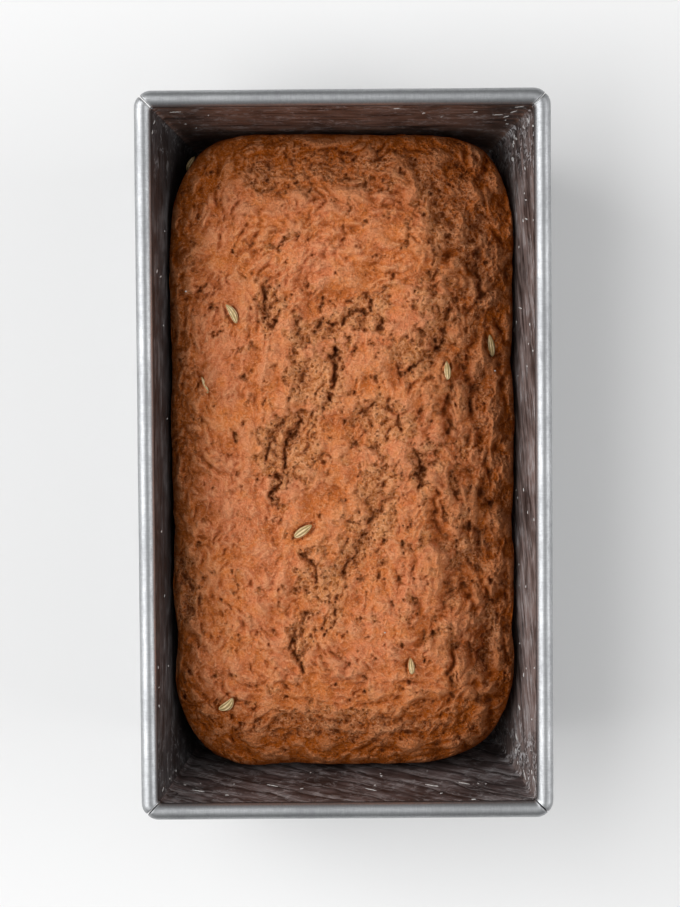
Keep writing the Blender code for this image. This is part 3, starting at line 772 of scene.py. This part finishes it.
def roundedPlace(across, along, halfWidth, halfLength, squarer):
    # a square ring of the grid becomes a ring with superellipse corners
    reach = np.maximum(np.maximum(np.abs(across), np.abs(along)), 1e-4)
    x, y = across * halfWidth, along * halfLength
    boxX = np.where(across > 0, loaf["rollRight"], loaf["rollLeft"]) * reach * reach
    boxY = loaf["rollEnd"] * reach * reach
    cornerX, cornerY = reach * halfWidth - boxX, reach * halfLength - boxY
    overX, overY = (np.abs(x) - cornerX) / boxX, (np.abs(y) - cornerY) / boxY
    onCorner = (overX > 0) & (overY > 0)
    overX, overY = np.maximum(overX, 1e-6), np.maximum(overY, 1e-6)
    square = squareness(x, y) * squarer
    shrink = np.maximum(overX, overY) / (overX ** square + overY ** square) ** (1 / square)
    x = np.where(onCorner, np.copysign(cornerX + overX * shrink * boxX, x), x)
    y = np.where(onCorner, np.copysign(cornerY + overY * shrink * boxY, y), y)
    return x, y


def sidePlace(across, along, height, squarer=1.0, inset=0.0):
    gap = innerInset(height) + loaf["wallGap"] + inset
    side, end = drawnBack(across * halfRimWidth, along * halfRimLength)
    return roundedPlace(across, along, halfRimWidth - gap - side, halfRimLength - gap - end, squarer)


def routeDistance(x, y, route):
    # distance from a route, and on which side of it a place lies: 1 left, -1 right
    nearest, side = np.full(x.shape, 1e9), np.zeros(x.shape)
    for (startX, startY), (endX, endY) in zip(route, route[1:]):
        runX, runY = endX - startX, endY - startY
        part = ((x - startX) * runX + (y - startY) * runY) / (runX * runX + runY * runY)
        part = np.clip(part, 0, 1)
        distance = np.hypot(x - startX - part * runX, y - startY - part * runY)
        aside = ((y - startY) * runX - (x - startX) * runY) / math.hypot(runX, runY)
        side = np.where(distance < nearest, aside / (distance + 0.25), side)
        nearest = np.minimum(nearest, distance)
    return nearest, side


def sampled(field, column, row):
    # bilinear value of a raster at fractional columns and rows
    column = np.clip(column, 0, field.shape[1] - 1.001)
    row = np.clip(row, 0, field.shape[0] - 1.001)
    left, low = column.astype(int), row.astype(int)
    partX, partY = column - left, row - low
    bottom = field[low, left] * (1 - partX) + field[low, left + 1] * partX
    top = field[low + 1, left] * (1 - partX) + field[low + 1, left + 1] * partX
    return bottom * (1 - partY) + top * partY


def combed(field, flowX, flowY, steps):
    # drags a raster along a flow, which draws its spots out into strands
    row, column = np.indices(field.shape).astype(float)
    total = field.copy()
    for way in (1, -1):
        placeX, placeY = column.copy(), row.copy()
        for _ in range(steps):
            nearX = np.clip(placeX, 0, field.shape[1] - 1).astype(int)
            nearY = np.clip(placeY, 0, field.shape[0] - 1).astype(int)
            placeX += way * flowX[nearY, nearX]
            placeY += way * flowY[nearY, nearX]
            total += sampled(field, placeX, placeY)
    total /= 2 * steps + 1
    return total / total.std()


def outlineFlow(x, y):
    # runs round the loaf near its edge and turns with a slow noise
    halfWidth, halfLength = loaf["halfWidth"], loaf["halfLength"]
    across, along = np.abs(x / halfWidth), np.abs(y / halfLength)
    slopeX, slopeY = np.sign(x) * across ** 3 / halfWidth, np.sign(y) * along ** 3 / halfLength
    middle = np.exp(-((across ** 4 + along ** 4) ** 0.25 / 0.55) ** 4)
    flowX = -slopeY / (np.hypot(slopeX, slopeY) + 1e-9) * (1 - middle) - 0.42 * middle
    flowY = slopeX / (np.hypot(slopeX, slopeY) + 1e-9) * (1 - middle) - 0.90 * middle
    turn = 1.5 * layered(x, y, 19, 401, 2)
    flowX, flowY = (flowX * np.cos(turn) - flowY * np.sin(turn),
                    flowX * np.sin(turn) + flowY * np.cos(turn))
    length = np.hypot(flowX, flowY) + 1e-9
    return flowX / length, flowY / length


def slowField(x, y, sizeX, sizeY, layer):
    # a broad noise on a raster, worked out at every fourth point
    coarse = noiseField(x[::4, ::4], y[::4, ::4], sizeX, sizeY, layer)
    row, column = np.indices(x.shape)
    return sampled(coarse, column / 4, row / 4)


def bent(x, y, fromX, fromY, amount, size, seed, rough):
    # places pushed about by two noises, so that what is drawn on them wavers
    return (fromX + amount * layered(x, y, size, seed, 3, rough),
            fromY + amount * layered(x, y, size, seed + 10, 3, rough))


def makeRelief():
    # rasters of the crust's relief and of the masks that its colours use, in millimetres
    spacing = relief["spacing"]
    wide, long = relief["halfWidth"], relief["halfLength"]
    x, y = np.meshgrid(np.arange(-wide, wide, spacing), np.arange(-long, long, spacing))
    height = np.zeros(x.shape)
    wrinkled = smoothStep(relief["foldStart"], relief["foldFull"], x)
    middle, halfWidth, halfLength = relief["ruggedMiddle"]
    rugged = 0.8 * np.exp(-((x / halfWidth) ** 2 + ((y - middle) / halfLength) ** 2) ** 2)
    rugged = np.maximum(np.maximum(wrinkled, rugged), 0.8 * smoothStep(*relief["ruggedEnds"], np.abs(y)))
    for size, rise in relief["lumps"]:
        height += rise * (0.4 + 0.6 * rugged) * slowField(x, y, size, size, size)
    bendX, bendY = bent(x, y, x, y, *relief["bend"])
    folds = np.abs(slowField(bendX + 0.12 * y, bendY, relief["foldWidth"], relief["foldLength"], 9.1))
    height += relief["foldHeight"] * wrinkled * (smoothStep(0, 0.34, folds) - 0.6)

    bias = np.zeros(x.shape)
    for placeX, placeY, halfWidth, halfLength, strength in tornPlaces:
        reach = np.hypot((bendX - placeX) / halfWidth, (bendY - placeY) / halfLength)
        bias = np.maximum(bias, strength * (1 - smoothStep(0.4, 1.15, reach)))
    crackX, crackY = bent(x, y, bendX, bendY, *relief["crackBend"])
    grooves = np.zeros(x.shape)
    for route, halfWidth, depth, lift in cracks.values():
        distance, aside = routeDistance(crackX, crackY, route)
        height += 0.5 * lift * aside * np.exp(-distance / relief["liftReach"])
        grooves = np.maximum(grooves, depth * np.exp(-(distance / halfWidth) ** 2))
        bias = np.maximum(bias, 0.85 * np.exp(-(distance / halfWidth / 3.2) ** 2))
    for placeX, placeY, radius, depth in pits:
        reach = np.hypot(crackX - placeX, crackY - placeY) / radius
        grooves = np.maximum(grooves, depth * np.exp(-reach * reach))
    height -= grooves * np.clip(1.05 + 0.9 * layered(x, y, 4, 35, 2), 0.5, 1.4)

    for placeX, placeY, halfWidth, halfLength, rise in lobes:
        reach = np.hypot((bendX - placeX) / halfWidth, (bendY - placeY) / halfLength)
        height += rise * (1 - smoothStep(0.92, 1.02, reach + 0.14 * layered(x, y, 5, 45, 3)))

    tornField = bias + 0.85 * layered(x, y, 4.8, 51, 4, 0.65) + 0.12 * wrinkled
    torn = smoothStep(relief["tornFrom"], relief["tornTo"], tornField)
    height -= relief["tornDrop"] * torn
    height += relief["lip"] * np.exp(-((tornField - relief["lipAt"]) / relief["lipWidth"]) ** 2)
    warpX, warpY = bent(x, y, x, y, *relief["crumbBend"])
    coarse, chance = bubbles(warpX, warpY, relief["crumbSize"], 81)
    height -= relief["crumbDepth"] * torn * np.clip(1 - coarse / 0.66, 0, 1) * smoothStep(0.6, 1.0, chance)

    flowX, flowY = outlineFlow(x, y)
    fromMiddle = (np.abs(x / loaf["halfWidth"]) ** 4 + np.abs(y / loaf["halfLength"]) ** 4) ** 0.25
    strength = smoothStep(0.30, 0.85, fromMiddle + 0.6 * layered(x, y, 16, 501, 2))
    strength = np.maximum(relief["quiet"] + (1 - relief["quiet"]) * strength, wrinkled)
    for index, (size, rise, drawn, sharp) in enumerate(relief["layers"]):
        spots = waves(bendX / size, bendY / size, 511 + 10 * index)
        spots = combed(spots, flowX, flowY, round(drawn / spacing))
        spots = np.abs(spots) - 0.8 if sharp else 0.6 * spots
        height += rise * (strength if index < 2 else 0.35 + 0.65 * strength) * spots
    for index, (size, rise, drawn, lumpy) in enumerate(relief["shreds"]):
        ridges = waves(warpX / size, warpY / size, 631 + 10 * index)
        ridges = np.tanh(1.1 * np.abs(combed(ridges, flowX, flowY, round(drawn / spacing))))
        height += rise * (0.15 + 0.85 * torn) * (ridges - 0.6) * (1 if lumpy else -1)
    crease = np.abs(waves(bendX / relief["creaseSize"], bendY / relief["creaseSize"], 601))
    here = smoothStep(0.0, 0.35, layered(x, y, 9, 611, 2)) * (0.4 + 0.6 * strength)
    height -= relief["creaseDepth"] * here * np.exp(-(crease / 0.07) ** 2)
    slits = combed(waves(x / relief["slitSize"], y / relief["slitSize"], 621), flowX, flowY, 5)
    height -= relief["slitDepth"] * smoothStep(1.6, 2.6, slits)
    for placeX, placeY, heading, length, width, _, _ in seeds["places"]:
        forwardX, forwardY = math.cos(math.radians(heading)), math.sin(math.radians(heading))
        along = ((x - placeX) * forwardX + (y - placeY) * forwardY) / (0.5 * length)
        aside = ((y - placeY) * forwardX - (x - placeX) * forwardY) / (0.5 * width)
        height -= relief["seedGap"] * np.exp(-((np.hypot(along, aside) - 1.2) / 0.26) ** 2)
    return {"height": height, "torn": torn}


def edgeSpread(count):
    part = np.linspace(-1, 1, count + 1)
    return part * (1.22 - 0.22 * part * part)


def blurred(field, reach, passes=2):
    for _ in range(passes):
        for axis in (0, 1):
            width = [(0, 0), (0, 0)]
            width[axis] = (reach + 1, reach)
            total = np.cumsum(np.pad(field, width, "edge"), axis)
            count = 2 * reach + 1
            low, high = [slice(None)] * 2, [slice(None)] * 2
            low[axis], high[axis] = slice(0, -count), slice(count, None)
            field = (total[tuple(high)] - total[tuple(low)]) / count
    return field


def paint(piece, name, values):
    layer = piece.data.attributes.new(name, "FLOAT", "POINT")
    layer.data.foreach_set("value", np.asarray(values, dtype=np.float32).ravel())


def splitPiece(name, vertices, normals, faces, material, painted):
    # one quarter of the crust, with the normals of the whole so that the quarters join unseen
    used = np.unique(np.concatenate([np.asarray(face).ravel() for face in faces]))
    renumber = np.full(len(vertices), -1)
    renumber[used] = np.arange(len(used))
    groups = [renumber[np.asarray(face)].tolist() for face in faces]
    listed = [face for group in groups for face in (group if isinstance(group[0], list) else [group])]
    piece = addPiece(name, vertices[used], listed, [material], "loaf")
    piece.data.normals_split_custom_set_from_vertices(normals[used].tolist())
    for layerName, values in painted.items():
        paint(piece, layerName, values[used])
    return piece


def buildCrust(material):
    rasters = makeRelief()
    rise = rasters["height"]
    near, wide = rise - blurred(rise, 2), rise - blurred(rise, 8)
    # painted shade: places lower than what is around them, at two sizes, are marked to be darkened
    rasters["cavity"] = smoothStep(0.07, 0.45, -near) * 0.4 + smoothStep(0.35, 1.8, -wide) * 0.75
    # painted shade in the broad valleys of the relief and painted light on its broad crests
    rasters["fold"] = smoothStep(-1.3, 1.3, rise - blurred(rise, 22))
    # painted highlight: places higher than what is around them are marked to be lightened
    rasters["ridge"] = smoothStep(0.02, 0.22, near) * 0.6 + smoothStep(0.10, 0.9, wide) * 0.4
    columns, rows = loaf["cellsAcross"] + 1, loaf["cellsAlong"] + 1
    across, along = np.meshgrid(edgeSpread(loaf["cellsAcross"]), edgeSpread(loaf["cellsAlong"]))
    reach = np.maximum(np.abs(across), np.abs(along))
    x, y = sidePlace(across, along, loaf["shoulderRight"])
    wallHeight = loaf["crest"] + (domeHeight(x, y) - loaf["crest"]) * reach ** 4
    x, y = sidePlace(across, along, wallHeight)
    column = (x / mm + relief["halfWidth"]) / relief["spacing"]
    row = (y / mm + relief["halfLength"]) / relief["spacing"]
    z = domeHeight(x, y) + sampled(rise, column, row) * mm * (1 - reach ** 40)
    top = np.stack([x, y, z], -1).reshape(-1, 3)
    grid = np.arange(rows * columns).reshape(rows, columns)
    faces = np.stack([grid[:-1, :-1], grid[:-1, 1:], grid[1:, 1:], grid[1:, :-1]], -1).reshape(-1, 4)
    edge = np.concatenate([grid[0, :-1], grid[:-1, -1], grid[-1, :0:-1], grid[:0:-1, 0]])
    edgeAcross, edgeAlong = across.ravel()[edge], along.ravel()[edge]
    shoulder = top[edge, 2]
    vertices, allFaces, above = [top], [faces], edge
    base = tin["sheet"] + loaf["floorGap"]
    straight = loaf["sideRings"] - loaf["filletRings"]
    for ring in range(1, loaf["sideRings"] + 1):
        if ring <= straight:
            part, inset = 1 - ring / straight, 0.0
            height = base + loaf["baseFillet"] + (shoulder - base - loaf["baseFillet"]) * part
        else:
            angle = math.pi / 2 * (ring - straight) / loaf["filletRings"]
            part, inset = 0.0, loaf["baseFillet"] * (1 - math.cos(angle))
            height = np.full(shoulder.shape, base + loaf["baseFillet"] * (1 - math.sin(angle)))
        sideX, sideY = sidePlace(edgeAcross, edgeAlong, height, 2 - part, inset)
        vertices.append(np.stack([sideX, sideY, height], -1))
        here = np.arange(len(edge)) + rows * columns + (ring - 1) * len(edge)
        allFaces.append(np.stack([above, here, np.roll(here, -1), np.roll(above, -1)], -1))
        above = here
    vertices, quads = np.concatenate(vertices), np.concatenate(allFaces)

    corners = vertices[quads]
    faceNormals = np.cross(corners[:, 2] - corners[:, 0], corners[:, 3] - corners[:, 1])
    normals = np.zeros(vertices.shape)
    for corner in range(4):
        np.add.at(normals, quads[:, corner], faceNormals)
    normals /= np.linalg.norm(normals, axis=1, keepdims=True)
    side = np.zeros(len(vertices) - rows * columns)
    painted = {}
    for name in ("cavity", "ridge", "torn", "fold"):
        painted[name] = np.concatenate([sampled(rasters[name], column, row).ravel(), side])
    # the crust is darker from baking and from painted shade, to the right, at the two ends and most in the
    # far right corner
    farSide = sum(share * smoothStep(start, end, place) for (share, start, end), place in (
        (relief["bakedAndShadedRight"], x / mm), (relief["bakedAndShadedNear"], -y / mm), (relief["bakedAndShadedFar"], y / mm)))
    farSide = farSide + 0.52 * smoothStep(15, 50, x / mm) * smoothStep(25, 80, y / mm)
    fromMiddle = np.hypot(x / mm / loaf["halfWidth"], y / mm / loaf["halfLength"])
    # painted shade in the loaf's corners beside the tin's walls
    paintedCornerShade = 0.5 * smoothStep(1.0, 1.3, fromMiddle)
    bakedAndShade = np.clip(rollOff(x, y)[2] * 0.8 + farSide + paintedCornerShade, 0, 1)
    painted["edge"] = np.concatenate([bakedAndShade.ravel(), side + 1])
    right = corners[:, :, 0].mean(axis=1) > 0
    far = corners[:, :, 1].mean(axis=1) > 0
    pieces = []
    for name, chosen in (("FarLeft", far & ~right), ("FarRight", far & right),
                         ("NearLeft", ~far & ~right), ("NearRight", ~far & right)):
        groups = [quads[chosen]] + ([above[::-1]] if name == "NearRight" else [])
        pieces.append(splitPiece("breadCrust" + name, vertices, normals, groups, material, painted))
    return pieces


def seedShape(length, width, bend):
    # a ribbed spindle along X, blunt at one end and drawn out at the other
    vertices, ribs, tips = [], [], []
    for station in range(seeds["stations"] + 1):
        part = station / seeds["stations"]
        thick = width / 2 * math.sin(math.pi * part ** 0.82) ** 0.62 if 0 < part < 1 else 0.06 * width
        x = (part - 0.5) * length
        y = bend * width * ((2 * part - 1) ** 2 - 0.5) * 0.5
        for step in range(seeds["around"]):
            angle = 2 * math.pi * step / seeds["around"]
            rib = 0.5 + 0.5 * math.cos(seeds["ribs"] * angle)
            radius = thick * (1 - seeds["ribDepth"] * (1 - rib))
            vertices.append((x, y + radius * math.cos(angle), seeds["flatness"] * radius * math.sin(angle)))
            ribs.append(rib)
            tips.append(smoothStep(0.82, 1.0, abs(2 * part - 1)))
    return vertices, tubeFaces(seeds["stations"] + 1, seeds["around"]), ribs, tips


def buildSeeds(crust, material):
    points, polygons = [], []
    for piece in crust:
        start = len(points)
        points += [vertex.co.copy() for vertex in piece.data.vertices]
        polygons += [[start + index for index in polygon.vertices] for polygon in piece.data.polygons
                     if len(polygon.vertices) == 4]
    tree = BVHTree.FromPolygons(points, polygons)
    vertices, faces, ribs, tips = [], [], [], []
    for x, y, heading, length, width, bend, standing in seeds["places"]:
        hit, *_ = tree.ray_cast(Vector((x * mm, y * mm, tinHeight)), Vector((0, 0, -1)))
        if hit is None:
            hit = tree.find_nearest(Vector((x * mm, y * mm, loaf["shoulderEnd"])))[0]
        nearby = [tree.find_nearest(hit + Vector((stepX, stepY, 0)) * mm)[1]
                  for stepX in (-2, 0, 2) for stepY in (-2, 0, 2)]
        up = sum(nearby, Vector()).normalized()
        forward = Vector((math.cos(math.radians(heading)), math.sin(math.radians(heading)), 0))
        forward = (forward - up * forward.dot(up)).normalized()
        turn = Matrix((forward, up.cross(forward), up)).transposed()
        place = hit + up * width * mm * standing
        shape, shapeFaces, shapeRibs, shapeTips = seedShape(length * mm, width * mm, bend)
        start = len(vertices)
        vertices += [place + turn @ Vector(point) for point in shape]
        faces += [tuple(start + index for index in face) for face in shapeFaces]
        ribs += shapeRibs
        tips += shapeTips
    piece = addPiece("fennelSeeds", vertices, faces, [material], "loaf")
    faceOutward(piece)
    paint(piece, "rib", ribs)
    paint(piece, "tip", tips)


# flecks of grease and flour on each wall: place along it, height, length and width in millimetres, and
# lean in degrees

flecks = {
    "colour": (0.62, 0.62, 0.60, 1), "thick": 0.16, "around": 10,
    "rings": ((1.0, -0.3), (0.95, 0.3), (0.6, 0.8)),         # of one fleck: how wide and how high
    "places": {
        "right": ((105, 36, 2.2, 1.2, 60), (99.4, 34, 4.0, 1.5, 80), (106, 40, 2.6, 0.9, 75),
            (104, 35, 2.0, 0.8, 40), (107, 37, 1.6, 1.0, 0), (84.6, 54.5, 3.0, 0.5, 85),
            (78.3, 54.8, 4.0, 0.5, 84), (48.6, 45, 5.0, 0.5, 85), (-88, 40.6, 3.4, 1.5, 75),
            (-98.8, 36, 4.0, 1.6, 60), (-104, 35, 2.2, 1.8, 0), (-110, 49, 5.0, 0.7, 50),
            (-113, 53, 3.6, 0.6, 50), (-108.7, 63, 2.4, 0.8, 60), (-111, 43, 2.8, 0.8, 50),
            (111, 58, 4.0, 0.8, 60), (109, 52, 3.6, 0.7, 70), (112, 49, 3.0, 0.7, 50)),
        "far": ((57, 57, 4.0, 0.8, 55), (55, 50, 3.4, 0.8, 50), (58.5, 64, 3.6, 0.6, 20),
            (52, 53, 4.0, 0.6, 12), (-55.5, 60.5, 4.5, 0.6, 8), (18, 63, 2.2, 0.5, 0)),
        "near": ((39.7, 49, 5.0, 0.8, 32), (-50.5, 55, 5.0, 0.8, 25), (-25.6, 50, 5.0, 0.6, 30),
            (28.4, 51, 6.0, 0.7, 32), (8, 55, 5.0, 0.5, 34)),
        "left": ((111, 62, 3.0, 0.7, 60), (60, 55, 2.4, 0.6, 80), (-112, 60, 2.6, 0.7, 60)),
    },
    "scattered": 70, "scatteredSize": (0.35, 0.9), "scatteredHeight": (34, 66),
    "scatteredWalls": ("right", "right", "right", "far", "near", "left"),
    "onCrust": ((20.8, 29, 0.9), (50.8, 27.5, 0.8), (-53, 55, 0.9), (13, -60, 0.6)),
}


def wallPlace(wall, along, height):
    # a point on the inside of a wall, with the directions along it and up it
    reach = (halfRimLength if wall in ("far", "near") else halfRimWidth) - innerInset(height)
    upward, rise = tin["slope"] / math.hypot(1, tin["slope"]), 1 / math.hypot(1, tin["slope"])
    sign = 1 if wall in ("far", "right") else -1
    if wall in ("far", "near"):
        return Vector((along, sign * reach, height)), Vector((1, 0, 0)), Vector((0, sign * upward, rise))
    return Vector((sign * reach, along, height)), Vector((0, -1, 0)), Vector((sign * upward, 0, rise))


def addBlob(vertices, faces, place, forward, aside, up, lengths):
    # a flattened drop with an uneven outline
    start, around = len(vertices), flecks["around"]
    for spread, rise in flecks["rings"]:
        for step in range(around):
            angle = 2 * math.pi * step / around
            uneven = 1 + 0.3 * noise.noise(place * 900 + Vector((math.cos(angle), math.sin(angle), 0)) * 1.4)
            point = forward * (lengths[0] * math.cos(angle)) + aside * (lengths[1] * math.sin(angle))
            vertices.append(place + point * spread * uneven * 0.5 + up * lengths[2] * rise)
    faces += ringFaces(len(flecks["rings"]), around, start)
    faces.append(tuple(range(len(vertices) - around, len(vertices))))
    faces.append(tuple(start + around - 1 - step for step in range(around)))


def buildFlecks(crust):
    material = newFinish("paleFleck").finished({"Base Color": flecks["colour"], "Roughness": 0.4})
    chance = random.Random(7)
    places = [(wall, *row) for wall, rows in flecks["places"].items() for row in rows]
    for _ in range(flecks["scattered"]):
        wall = chance.choice(flecks["scatteredWalls"])
        reach = 112 if wall in ("right", "left") else 56
        along = chance.choice((-1, 1)) * reach * (1 - 0.9 * chance.random() ** 1.6)
        size = chance.uniform(*flecks["scatteredSize"])
        height = chance.uniform(*flecks["scatteredHeight"])
        places.append((wall, along, height, size * 2, size, chance.uniform(0, 180)))
    vertices, faces = [], []
    for wall, along, height, length, width, lean in places:
        place, onward, upward = wallPlace(wall, along * mm, height * mm)
        angle = math.radians(lean)
        forward = onward * math.cos(angle) + upward * math.sin(angle)
        aside = upward * math.cos(angle) - onward * math.sin(angle)
        out = Vector((-place.x, 0, 0)) if wall in ("right", "left") else Vector((0, -place.y, 0))
        addBlob(vertices, faces, place, forward, aside, out.normalized(),
                (length * mm, width * mm, flecks["thick"] * mm))
    for x, y, size in flecks["onCrust"]:
        casts = [piece.ray_cast(Vector((x * mm, y * mm, tinHeight)), Vector((0, 0, -1))) for piece in crust]
        hit = [place for found, place, *_ in casts if found][-1]
        addBlob(vertices, faces, hit + Vector((0, 0, 0.1 * mm)), Vector((1, 0, 0)), Vector((0, 1, 0)),
                Vector((0, 0, 1)), (size * mm, 0.7 * size * mm, 0.4 * size * mm))
    faceOutward(addPiece("paleFlecks", vertices, faces, [material], "tin"))


placeCamera()
setStudio()
print("camera and studio are set")
steel = satinSteel()
buildShell([bakedFilm(wall) for wall in ("right", "far", "left", "near")], steel)
for side in range(4):
    buildBead(side, steel)
print("the tin is built")
crust = buildCrust(breadCrust())
print("the crust is built:", [len(piece.data.polygons) for piece in crust])
buildSeeds(crust, fennelHusk())
print("the seeds are set on the crust")
buildFlecks(crust)
print("the flecks are on the tin's walls and the crust")
